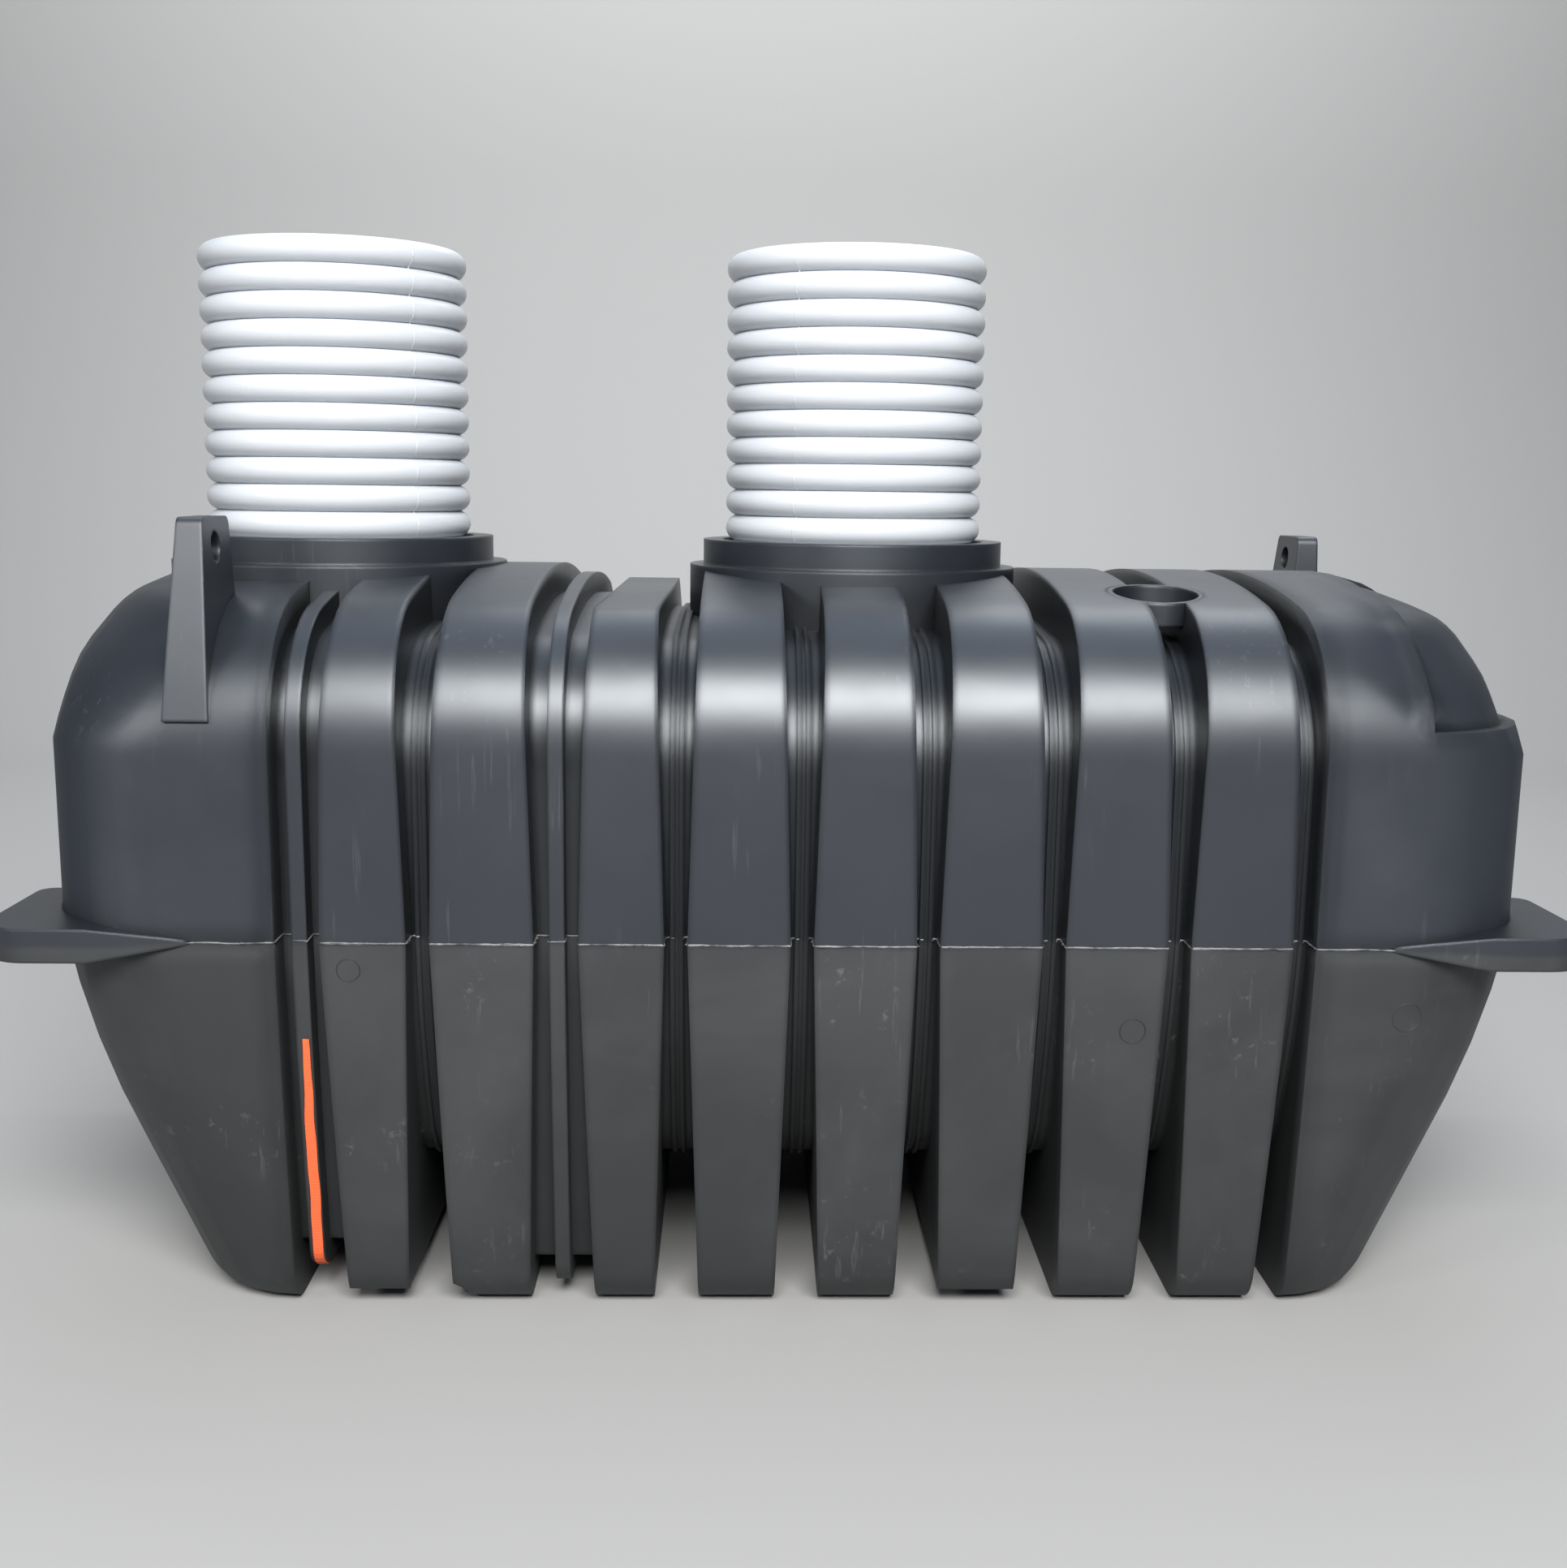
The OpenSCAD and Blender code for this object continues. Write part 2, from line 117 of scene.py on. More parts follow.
def maths(tree, operation, a, b=None, c=None, clamp=False):
    """Maths node on up to three values or outputs."""
    node = tree.nodes.new("ShaderNodeMath")
    node.operation = operation
    node.use_clamp = clamp
    for i, item in enumerate((a, b, c)):
        if item is None:
            continue
        if isinstance(item, (int, float)):
            node.inputs[i].default_value = item
        else:
            tree.links.new(item, node.inputs[i])
    return node.outputs[0]


def mix_colour(tree, factor, a, b, blend="MIX"):
    """Mix two colours, each a tuple or an output."""
    node = tree.nodes.new("ShaderNodeMix")
    node.data_type = "RGBA"
    node.blend_type = blend
    for socket, item in ((0, factor), (6, a), (7, b)):
        if isinstance(item, tuple):
            node.inputs[socket].default_value = (*item, 1)
        elif isinstance(item, (int, float)):
            node.inputs[socket].default_value = item
        else:
            tree.links.new(item, node.inputs[socket])
    return node.outputs[2]


print("helpers ready")

# %% [markdown]
# ## Shared effects
# A tank that has been dragged about a yard has fine scratches, cloudy patches and rubbed spots.
# They could be painted, but noise costs nothing to change and has no edge. The group puts out
# plain values only, and each material uses them at its own strength.

# %% Scuffs group
def new_group(name, outputs):
    """An empty node group that takes a place and puts out the named values."""
    tree = bpy.data.node_groups.new(name, "ShaderNodeTree")
    tree.interface.new_socket("Vector", in_out="INPUT", socket_type="NodeSocketVector")
    for title in outputs:
        tree.interface.new_socket(title, in_out="OUTPUT", socket_type="NodeSocketFloat")
    entry = tree.nodes.new("NodeGroupInput")
    exit_ = tree.nodes.new("NodeGroupOutput")
    return tree, entry.outputs["Vector"], exit_


def scuffs_group():
    """Fine scratches in several directions, soft cloudy patches, and rubbed spots."""
    tree, place, exit_ = new_group("scuffs", ["Scratches", "Clouds", "Rubs"])
    lines = None
    for turn, squeeze in ((0.25, 60), (-0.5, 45), (1.2, 52)):
        spun = put(tree, "ShaderNodeMapping",
                   {"Rotation": (0.3, turn, turn), "Scale": (squeeze, squeeze, 2.2)},
                   {"Vector": place})
        noise = put(tree, "ShaderNodeTexNoise", {"Scale": 1.4, "Detail": 3.0, "Roughness": 0.55},
                    {"Vector": spun.outputs[0]})
        thin = ramp(tree, noise.outputs["Fac"], [(0.66, 0.0), (0.70, 1.0), (0.74, 0.0)])
        lines = thin if lines is None else maths(tree, "MAXIMUM", lines, thin)
    patch = put(tree, "ShaderNodeTexNoise",
                {"Scale": 3.1, "Detail": 5.0, "Roughness": 0.6, "Distortion": 0.6},
                {"Vector": place})
    cloud = ramp(tree, patch.outputs["Fac"], [(0.42, 0.0), (0.72, 1.0)])
    where = put(tree, "ShaderNodeTexNoise", {"Scale": 5.5, "Detail": 2.0}, {"Vector": place})
    zone = ramp(tree, where.outputs["Fac"], [(0.52, 0.0), (0.66, 1.0)])
    speck = put(tree, "ShaderNodeTexNoise", {"Scale": 42.0, "Detail": 6.0, "Roughness": 0.7},
                {"Vector": place})
    spots = ramp(tree, speck.outputs["Fac"], [(0.60, 0.0), (0.68, 1.0)])
    tree.links.new(maths(tree, "MULTIPLY", lines, zone), exit_.inputs["Scratches"])
    tree.links.new(cloud, exit_.inputs["Clouds"])
    tree.links.new(maths(tree, "MULTIPLY", spots, zone), exit_.inputs["Rubs"])
    return tree


scuffs = scuffs_group()
print("group:", scuffs.name, [item.name for item in scuffs.interface.items_tree])

# %% [markdown]
# ## Black moulded plastic
# The tank is black polyethylene. Above the seam its skin has a soft sheen, and below it the skin is
# dull, greyer and scuffed. Two materials would need a cut along the seam. One material mixes both
# by height instead, and lets the border waver a little.

# %% Start of a material
def new_material(name):
    """A material with its tree, its shader and the place of each point on the object."""
    mat = bpy.data.materials.new(name)
    mat.use_nodes = True
    tree = mat.node_tree
    place = tree.nodes.new("ShaderNodeTexCoord").outputs["Object"]
    return mat, tree, tree.nodes["Principled BSDF"], place


print("materials start from the place of each point")

# %% Colour of the black skin
def black_tone(tree, place, lower, wear):
    """Colour of the black skin with painted shade in its grooves, and how cloudy it is at each
    point.
    """
    grain = put(tree, "ShaderNodeTexNoise", {"Scale": 1.6, "Detail": 6.0, "Roughness": 0.65},
                {"Vector": place}).outputs["Fac"]
    upper_tone = mix_colour(tree, grain, (0.0055, 0.0072, 0.0108), (0.0105, 0.0130, 0.0180))
    # Below the seam the tone is greyer, and also a little darker as painted shade for the lower
    # skin.
    lower_tone_with_shade = mix_colour(tree, grain, (0.0055, 0.0058, 0.0058), (0.010, 0.0103, 0.010))
    tone = mix_colour(tree, lower, upper_tone, lower_tone_with_shade)
    cloud_share = maths(tree, "MULTIPLY_ADD", lower, 0.16, 0.03)
    cloud = maths(tree, "MULTIPLY", wear.outputs["Clouds"], cloud_share)
    tone = mix_colour(tree, cloud, tone, (0.060, 0.064, 0.069))
    line = maths(tree, "MULTIPLY", wear.outputs["Scratches"], 0.10)
    tone = mix_colour(tree, line, tone, (0.22, 0.23, 0.24))
    # Painted shade: the colour is multiplied darker where ambient occlusion finds grooves and
    # hollows.
    hollow = put(tree, "ShaderNodeAmbientOcclusion", {"Distance": 0.12}, samples=3)
    shade = maths(tree, "POWER", hollow.outputs["AO"], 1.4)
    painted_shade = mix_colour(tree, shade, (0.25, 0.24, 0.23), (1.0, 1.0, 1.0))
    tone = mix_colour(tree, 1.0, tone, painted_shade, "MULTIPLY")
    dust = maths(tree, "MULTIPLY", wear.outputs["Rubs"], maths(tree, "MULTIPLY", lower, 0.16))
    return mix_colour(tree, dust, tone, (0.26, 0.25, 0.23)), cloud


print("colour: bluish black above the seam, grey black below, darker in the grooves")

# %% Sheen of the black skin
def black_roughness(tree, place, lower, cloud):
    """Roughness of the black skin: higher below the seam and in the cloudy patches."""
    gloss = put(tree, "ShaderNodeTexNoise", {"Scale": 7.0, "Detail": 5.0, "Roughness": 0.6},
                {"Vector": place})
    rough_up = maths(tree, "MULTIPLY_ADD", gloss.outputs["Fac"], 0.12, 0.35)
    rough = maths(tree, "MULTIPLY_ADD", lower, 0.20, rough_up)
    return maths(tree, "MULTIPLY_ADD", cloud, 0.25, rough, clamp=True)


print("sheen: roughness 0.35 to 0.47 above the seam, 0.20 more below")

# %% [markdown]
# The corners of a moulding are never sharp. Rounding them in the mesh would change the shape that
# the solids fix, so the shader turns the normals near each corner instead, by a given radius. On
# top of that come soft waves, a broken line left by the mould, and a fine texture.

# %% Relief of the black skin
def black_normal(tree, place, height, rounding):
    """Rounded corners, soft waves, the broken mould line and the mould's fine texture."""
    skin = put(tree, "ShaderNodeTexNoise", {"Scale": 420.0, "Detail": 3.0}, {"Vector": place})
    waves = put(tree, "ShaderNodeTexNoise", {"Scale": 6.0, "Detail": 2.0}, {"Vector": place})
    round_ = put(tree, "ShaderNodeBevel", {"Radius": rounding}, samples=4)
    ridge = maths(tree, "COMPARE", height, mould_line_z, 0.0011)
    broken = put(tree, "ShaderNodeTexNoise", {"Scale": 3.2, "Detail": 2.0}, {"Vector": place})
    ridge = maths(tree, "MULTIPLY", ridge, maths(tree, "GREATER_THAN", broken.outputs["Fac"], 0.53))
    swell = maths(tree, "MULTIPLY_ADD", ridge, 0.12, waves.outputs["Fac"])
    soft = put(tree, "ShaderNodeBump", {"Strength": 0.35, "Distance": 0.004},
               {"Height": swell, "Normal": round_.outputs[0]})
    fine = put(tree, "ShaderNodeBump", {"Strength": 0.12, "Distance": 0.0004},
               {"Height": skin.outputs["Fac"], "Normal": soft.outputs[0]})
    return fine.outputs[0]


print("relief: mould line at %.3f m" % mould_line_z)

# %% Black plastic
def black_plastic(name, rounding):
    """Black polyethylene whose corners look rounded by the given radius."""
    mat, tree, bsdf, place = new_material(name)
    height = put(tree, "ShaderNodeSeparateXYZ", links={"Vector": place}).outputs["Z"]
    wobble = put(tree, "ShaderNodeTexNoise", {"Scale": 9.0, "Detail": 3.0}, {"Vector": place})
    edge = maths(tree, "MULTIPLY_ADD", wobble.outputs["Fac"], 0.012, -0.006)
    below = maths(tree, "SUBTRACT", seam_z, maths(tree, "ADD", height, edge))
    lower = maths(tree, "MULTIPLY", below, 120.0, clamp=True)
    wear = put(tree, "ShaderNodeGroup", node_tree=scuffs)
    tree.links.new(place, wear.inputs["Vector"])
    tone, cloud = black_tone(tree, place, lower, wear)
    tree.links.new(tone, bsdf.inputs["Base Color"])
    tree.links.new(black_roughness(tree, place, lower, cloud), bsdf.inputs["Roughness"])
    tree.links.new(black_normal(tree, place, height, rounding), bsdf.inputs["Normal"])
    bsdf.inputs["Specular IOR Level"].default_value = 0.78
    bsdf.inputs["Specular Tint"].default_value = (0.90, 0.95, 1.0, 1)
    return mat


black_rib = black_plastic("moulded_black_rib", 0.014)
black_end = black_plastic("moulded_black_end", 0.045)
black_part = black_plastic("moulded_black_part", 0.006)
print("black plastic on", len(ribs + bands + ends + fittings), "solids")

# %% [markdown]
# ## White riser plastic
# The risers are white corrugated pipe with a cool satin skin. Thin plastic lets a little light in,
# so some of the colour goes through the subsurface setting, which a plain white paint would lack.
# The grooves are painted a little paler and bluer, as painted light in the hollows.

# %% White plastic
def white_plastic(name):
    """Cool white satin plastic with faint scratches and painted light in its grooves."""
    mat, tree, bsdf, place = new_material(name)
    grain = put(tree, "ShaderNodeTexNoise", {"Scale": 5.0, "Detail": 5.0, "Roughness": 0.6},
                {"Vector": place})
    tone = mix_colour(tree, grain.outputs["Fac"], (0.375, 0.398, 0.43), (0.43, 0.455, 0.485))
    wear = put(tree, "ShaderNodeGroup", node_tree=scuffs)
    tree.links.new(place, wear.inputs["Vector"])
    # Painted light: the tone turns paler and bluer where ambient occlusion finds a groove.
    hollow = put(tree, "ShaderNodeAmbientOcclusion", {"Distance": 0.02}, samples=3)
    groove_painted_light = maths(tree, "MULTIPLY", maths(tree, "SUBTRACT", 1.0, hollow.outputs["AO"]), 0.35)
    tone = mix_colour(tree, groove_painted_light, tone, (0.52, 0.54, 0.60))
    line = maths(tree, "MULTIPLY", wear.outputs["Scratches"], 0.12)
    tone = mix_colour(tree, line, tone, (0.55, 0.56, 0.6))
    tree.links.new(tone, bsdf.inputs["Base Color"])
    bsdf.inputs["Roughness"].default_value = 0.34
    bsdf.inputs["Subsurface Weight"].default_value = 0.12
    bsdf.inputs["Subsurface Radius"].default_value = (0.01, 0.01, 0.012)
    skin = put(tree, "ShaderNodeTexNoise", {"Scale": 60.0, "Detail": 3.0}, {"Vector": place})
    bump = put(tree, "ShaderNodeBump", {"Strength": 0.10, "Distance": 0.001},
               {"Height": skin.outputs["Fac"]})
    tree.links.new(bump.outputs[0], bsdf.inputs["Normal"])
    return mat


white = white_plastic("riser_white_satin")
print("white plastic on", risers)

# %% [markdown]
# ## Orange webbing
# A short length of woven orange strap lies on the left hoop. Its threads are under a millimetre,
# too fine to model one by one, so two crossed waves stand for them, in the colour and in a small
# bump.

# %% Webbing
def webbing(name):
    """Orange webbing with a plain weave."""
    mat, tree, bsdf, place = new_material(name)
    rows = put(tree, "ShaderNodeTexWave", {"Scale": 160.0, "Distortion": 0.6}, {"Vector": place},
               bands_direction="Z")
    cross = put(tree, "ShaderNodeTexWave", {"Scale": 240.0, "Distortion": 0.4}, {"Vector": place},
                bands_direction="X")
    weave = maths(tree, "MULTIPLY", rows.outputs["Fac"], cross.outputs["Fac"])
    tone = mix_colour(tree, weave, (0.60, 0.075, 0.018), (0.86, 0.17, 0.05))
    tree.links.new(tone, bsdf.inputs["Base Color"])
    bsdf.inputs["Roughness"].default_value = 0.62
    bump = put(tree, "ShaderNodeBump", {"Strength": 0.5, "Distance": 0.0006}, {"Height": weave})
    tree.links.new(bump.outputs[0], bsdf.inputs["Normal"])
    return mat


orange = webbing("strap_webbing")
print("webbing on strap")

# %% [markdown]
# ## Smooth skins
# The solids come as flat strips, and their meshes stay as they are. Rebuilding each shape would
# risk a difference, so each moulded piece gets a skin with the same points. Its gentle bends are
# shaded smooth, its corners stay crisp, and the skin stands for the solid.

# %% Skins for the moulded pieces
def smooth_skin(name, mat, crease=28):
    """A copy of a solid's surface with welded corners, smooth bends and sharp creases."""
    source = nodes[name]
    work = bmesh.new()
    work.from_mesh(source.data)
    bmesh.ops.transform(work, matrix=source.matrix_world, verts=work.verts)
    bmesh.ops.remove_doubles(work, verts=work.verts, dist=0.00002)
    for face in work.faces:
        face.smooth = True
    for edge in work.edges:
        edge.smooth = edge.is_manifold and edge.calc_face_angle(4) < math.radians(crease)
    skin_mesh = bpy.data.meshes.new(name + "_skin")
    work.to_mesh(skin_mesh)
    work.free()
    skin_mesh.materials.append(mat)
    skin = bpy.data.objects.new(name + "_skin", skin_mesh)
    bpy.context.scene.collection.objects.link(skin)
    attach(skin, "root")
    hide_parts(name)
    return skin


def dress(name, mat):
    """Give a solid a material, so that none is left without one under its skin."""
    obj = nodes[name]
    if not obj.material_slots:
        obj.data.materials.append(mat)
    for item in obj.material_slots:
        item.material = mat


skins = [smooth_skin(title, black_rib) for title in ribs + bands]
skins += [smooth_skin(title, black_end)
          for title in ends]
skins += [smooth_skin(title, black_part) for title in fittings]
skins += [smooth_skin(title, white) for title in risers]
for title in nodes:
    dress(title, black_part)
triangles = sum(len(face.vertices) - 2 for skin in skins for face in skin.data.polygons)
print("skins:", len(skins), "triangles:", triangles)

# %% [markdown]
# ## Strap
# A cut through the left hoop gives the path that the webbing lies on: down the hoop's front, round
# its foot and back under the tank. A curve with a flat section would follow it too, but it can't
# give the thick edges, the cross ribs and the worn, frayed tip. So the webbing is built ring by
# ring.

# %% Turn a working mesh into a piece
def finish_piece(name, work, mat):
    """Turn a working mesh into a piece of the tank."""
    bmesh.ops.recalc_face_normals(work, faces=work.faces)
    mesh = bpy.data.meshes.new(name)
    work.to_mesh(mesh)
    work.free()
    mesh.materials.append(mat)
    obj = bpy.data.objects.new(name, mesh)
    bpy.context.scene.collection.objects.link(obj)
    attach(obj, "root")
    return obj


print("pieces ride on the root body")

# %% Path down the hoop
def cut_outline(name, x):
    """Points of the outline where the plane at x cuts a solid, in order round it."""
    work = bmesh.new()
    work.from_mesh(nodes[name].data)
    every = list(work.verts) + list(work.edges) + list(work.faces)
    cut = bmesh.ops.bisect_plane(work, geom=every, plane_co=(x, 0, 0), plane_no=(1, 0, 0),
                                 dist=1e-7)
    joined = {}
    for edge in (item for item in cut["geom_cut"] if isinstance(item, bmesh.types.BMEdge)):
        one, two = (tuple(round(v, 5) for v in vert.co) for vert in edge.verts)
        if one != two:
            joined.setdefault(one, set()).add(two)
            joined.setdefault(two, set()).add(one)
    work.free()
    point = min(joined, key=lambda p: p[1])
    ring, seen = [point], {point}
    while True:
        step = [p for p in joined[ring[-1]] if p not in seen]
        if not step:
            return [Vector(p) for p in ring]
        ring.append(step[0])
        seen.add(step[0])


def path_down(ring, top, back, spacing):
    """Even steps along the outside of the outline, from height top down and back to depth back."""
    follows = [ring[(i + 1) % len(ring)] for i in range(len(ring))]
    start = next(i for i, (one, two) in enumerate(zip(ring, follows))
                 if one.y < 0 and (one.z >= top) != (two.z >= top))
    falls = follows[start].z < ring[start].z
    walk = ring[start:] + ring[:start] if falls else ring[start + 1::-1] + ring[:start + 1:-1]
    points, left, begun = [], 0.0, False
    for one, two in zip(walk, walk[1:]):
        span = (two - one).length
        while left <= span:
            place = one.lerp(two, left / span)
            left += spacing
            begun = begun or place.z <= top
            if begun and place.y > back:
                return points
            if begun:
                points.append(place)
        left -= span
    return points


STEP = 0.0008
strap_back_y = -0.3
strap_low, strap_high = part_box("strap")
strap_mid = (strap_low[0] + strap_high[0]) / 2
strap_width = strap_high[0] - strap_low[0]
strap_path = path_down(cut_outline("hoop_left", strap_mid), strap_high[2], strap_back_y, STEP)
print("strap path: %d points, %.3f m, ends" % (len(strap_path), STEP * len(strap_path)),
      [[round(v, 3) for v in strap_path[i]] for i in (0, -1)])

# %% Webbing piece
def fray(sheet, start, width, luck, threads=14):
    """Short loose threads across the top end of the webbing."""
    for i in range(threads):
        across = -0.28 + 0.56 * i / (threads - 1)
        base = start - Vector((0, 0.0015, 0))
        base.x = strap_mid + width * 0.8 * across
        tip = base + Vector((luck.uniform(-0.002, 0.002), luck.uniform(0.0, 0.001),
                             luck.uniform(-0.001, 0.0)))
        tip.z += 0.0015
        low = [sheet.verts.new(base + Vector((dx, dy, -0.001))) for dx, dy in
               ((-0.0004, 0), (0.0004, 0), (0, 0.0006))]
        peak = sheet.verts.new(tip)
        for a, b in ((0, 1), (1, 2), (2, 0)):
            sheet.faces.new((low[a], low[b], peak))
        sheet.faces.new(low[::-1])


def woven_strap(name, path, width, thick, mat):
    """Webbing with its outer face on the path: thick edges, cross ribs and a frayed tip."""
    luck = random.Random(11)
    profile = [(-0.5, 0.25), (-0.47, 0.05), (-0.40, 0.0), (-0.34, 0.14), (-0.17, 0.10), (0.0, 0.08),
               (0.17, 0.10), (0.34, 0.14), (0.40, 0.0), (0.47, 0.05), (0.5, 0.25),
               (0.5, 0.75), (0.47, 0.98), (0.0, 0.94), (-0.47, 0.98), (-0.5, 0.75)]
    sheet = bmesh.new()
    rings = []
    for k, point in enumerate(path):
        ahead = path[min(k + 1, len(path) - 1)] - path[max(k - 1, 0)]
        inward = Vector((0, ahead.z, -ahead.y)).normalized()
        if inward.dot(Vector((0, 0, seam_z)) - point) < 0:
            inward = -inward
        run = k * STEP
        grow = min(1.0, 0.62 + 0.38 * min(1.0, run / 0.16))
        sway = 0.0007 * math.sin(run * 31) + 0.0004 * math.sin(run * 77 + 1)
        rib = 0.10 if k % 4 < 2 else 0.0
        ring = []
        for across, depth in profile:
            frayed = luck.uniform(-0.02, 0.02) if abs(across) > 0.45 else 0
            on_face = rib if depth < 0.5 and abs(across) < 0.46 else 0
            place = point - inward * (thick * (1 - depth - on_face) + 0.0003)
            place.x = strap_mid + sway + width * grow * (across + frayed)
            ring.append(sheet.verts.new(place))
        rings.append(ring)
    count = len(profile)
    for one, two in zip(rings, rings[1:]):
        for i in range(count):
            j = (i + 1) % count
            sheet.faces.new((one[i], one[j], two[j], two[i])).smooth = True
    sheet.faces.new(rings[0][::-1])
    sheet.faces.new(rings[-1])
    fray(sheet, path[0], width, luck)
    return finish_piece(name, sheet, mat)


strap_piece = woven_strap("strap_webbing", strap_path, strap_width * 0.96, 0.0024, orange)
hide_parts("strap")
print("webbing faces:", len(strap_piece.data.polygons))

# %% [markdown]
# ## Seam flash
# Where the two halves of the mould met, a thin fin of plastic stands out all round the tank. A bump
# in the material would not show against the light, so the fin is real. A cut through each solid at
# the seam gives the line, and the fin wanders a little along it.

# %% Outer lines at the seam
def outer_chains(name, z):
    """Lines where the plane at z cuts a solid's outer skin, each a row of runs with normals."""
    work = bmesh.new()
    work.from_mesh(nodes[name].data)
    low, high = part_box(name)
    middle = Vector(((low[0] + high[0]) / 2, 0, z))
    every = list(work.verts) + list(work.edges) + list(work.faces)
    cut = bmesh.ops.bisect_plane(work, geom=every, plane_co=(0, 0, z), plane_no=(0, 0, 1),
                                 dist=1e-7)
    links = {}
    for edge in (item for item in cut["geom_cut"] if isinstance(item, bmesh.types.BMEdge)):
        sides = [face for face in edge.link_faces if abs(face.normal.z) < 0.7]
        out = sides[0].normal.copy() if sides else Vector((0, 0, 0))
        centre = (edge.verts[0].co + edge.verts[1].co) / 2
        if out.dot(centre - middle) <= 0.0 or edge.calc_length() < 1e-5:
            continue
        one, two = (tuple(round(v, 5) for v in vert.co) for vert in edge.verts)
        if one != two:
            links.setdefault(one, []).append((two, out))
            links.setdefault(two, []).append((one, out))
    work.free()
    chains = []
    while links:
        tips = [p for p, joined in links.items() if len(joined) == 1]
        here = tips[0] if tips else next(iter(links))
        chain = []
        while links.get(here):
            there, out = links[here].pop()
            links[there] = [item for item in links.get(there, []) if item[0] != here]
            chain.append((Vector(here), Vector(there), out))
            if not links[here]:
                del links[here]
            here = there
        links = {p: joined for p, joined in links.items() if joined}
        chains.append(chain)
    return chains


def even_steps(chain, spacing):
    """Points and outward normals at even steps along a chain of straight runs."""
    steps, left = [], 0.0
    for one, two, out in chain:
        span = (two - one).length
        while left <= span:
            steps.append((one.lerp(two, left / span), out))
            left += spacing
        left -= span
    if steps and (chain[-1][1] - steps[-1][0]).length > 1e-4:
        steps.append((chain[-1][1], chain[-1][2]))
    return steps


seam_lines = []
for title in ribs + bands + ["end_left_lower", "end_right_lower", "hoop_left", "hoop_mid"]:
    cut_z = seam_z - (0.0004 if title.startswith("end") else 0.0)
    seam_lines += [even_steps(chain, 0.004) for chain in outer_chains(title, cut_z)]
seam_lines = [line for line in seam_lines if len(line) > 3]
print("seam lines:", len(seam_lines), "with", sum(len(line) for line in seam_lines), "steps")

# %% Fin along the seam
def seam_flash(lines, mat):
    """A low wandering fin, with small flakes left on it here and there."""
    luck = random.Random(23)
    section = ((0.0016, -0.002), (0.0008, 0.35), (0.0, 1.0), (-0.0010, 0.55), (-0.0022, -0.002))
    work = bmesh.new()
    for line in lines:
        fin, drift, rings = 0.0012, 0.0, []
        for place, out in line:
            fin += luck.uniform(-0.0004, 0.0004) + 0.1 * (0.0012 - fin)
            drift += luck.uniform(-0.0003, 0.0003) - 0.1 * drift
            flake = luck.uniform(0.001, 0.0035) if luck.random() < 0.05 else 0
            tall = max(0.0003, fin) + flake
            ring = []
            for up, reach in section:
                stand = reach * tall if reach > 0 else -0.0006
                ring.append(work.verts.new(place + out * stand + Vector((0, 0, up + drift))))
            rings.append(ring)
        for one, two in zip(rings, rings[1:]):
            for i in range(4):
                work.faces.new((one[i], one[i + 1], two[i + 1], two[i]))
            work.faces.new((one[4], one[0], two[0], two[4]))
        work.faces.new(rings[0])
        work.faces.new(rings[-1][::-1])
    return finish_piece("seam_flash", work, mat)


def painted_highlight_plastic(name, dark, light, roughness):
    """Black plastic with pale patches, a painted highlight for thin edges that catch the light."""
    mat, tree, bsdf, place = new_material(name)
    grain = put(tree, "ShaderNodeTexNoise", {"Scale": 38.0, "Detail": 5.0, "Roughness": 0.7},
                {"Vector": place})
    # Painted highlight: the pale patches stand for light caught along the thin fin.
    highlight_patches = ramp(tree, grain.outputs["Fac"], [(0.38, 0.0), (0.62, 1.0)])
    tree.links.new(mix_colour(tree, highlight_patches, dark, light), bsdf.inputs["Base Color"])
    tree.links.new(maths(tree, "MULTIPLY_ADD", highlight_patches, 0.2, roughness), bsdf.inputs["Roughness"])
    fine = put(tree, "ShaderNodeTexNoise", {"Scale": 600.0, "Detail": 2.0}, {"Vector": place})
    bump = put(tree, "ShaderNodeBump", {"Strength": 0.3, "Distance": 0.0004},
               {"Height": fine.outputs["Fac"]})
    tree.links.new(bump.outputs[0], bsdf.inputs["Normal"])
    return mat


# The seam fin's pale patches are a painted highlight.
flash_mat = painted_highlight_plastic("black_edge_painted_highlight", (0.03, 0.031, 0.033), (0.17, 0.17, 0.175), 0.4)
flash = seam_flash(seam_lines, flash_mat)
print("seam flash faces:", len(flash.data.polygons))

# %% [markdown]
# ## Small moulded marks
# Each riser carries the seam of its own mould, and three faint rings mark the tank's front. Both
# stand out by about a millimetre or less. A ray sent at the solid finds its surface at every step,
# so the marks follow its bends without being drawn by hand.

# %% Riser seams
def surface(name):
    """Search tree of a solid's surface, for finding where a line meets it."""
    work = bmesh.new()
    work.from_mesh(nodes[name].data)
    tree = BVHTree.FromBMesh(work)
    work.free()
    return tree


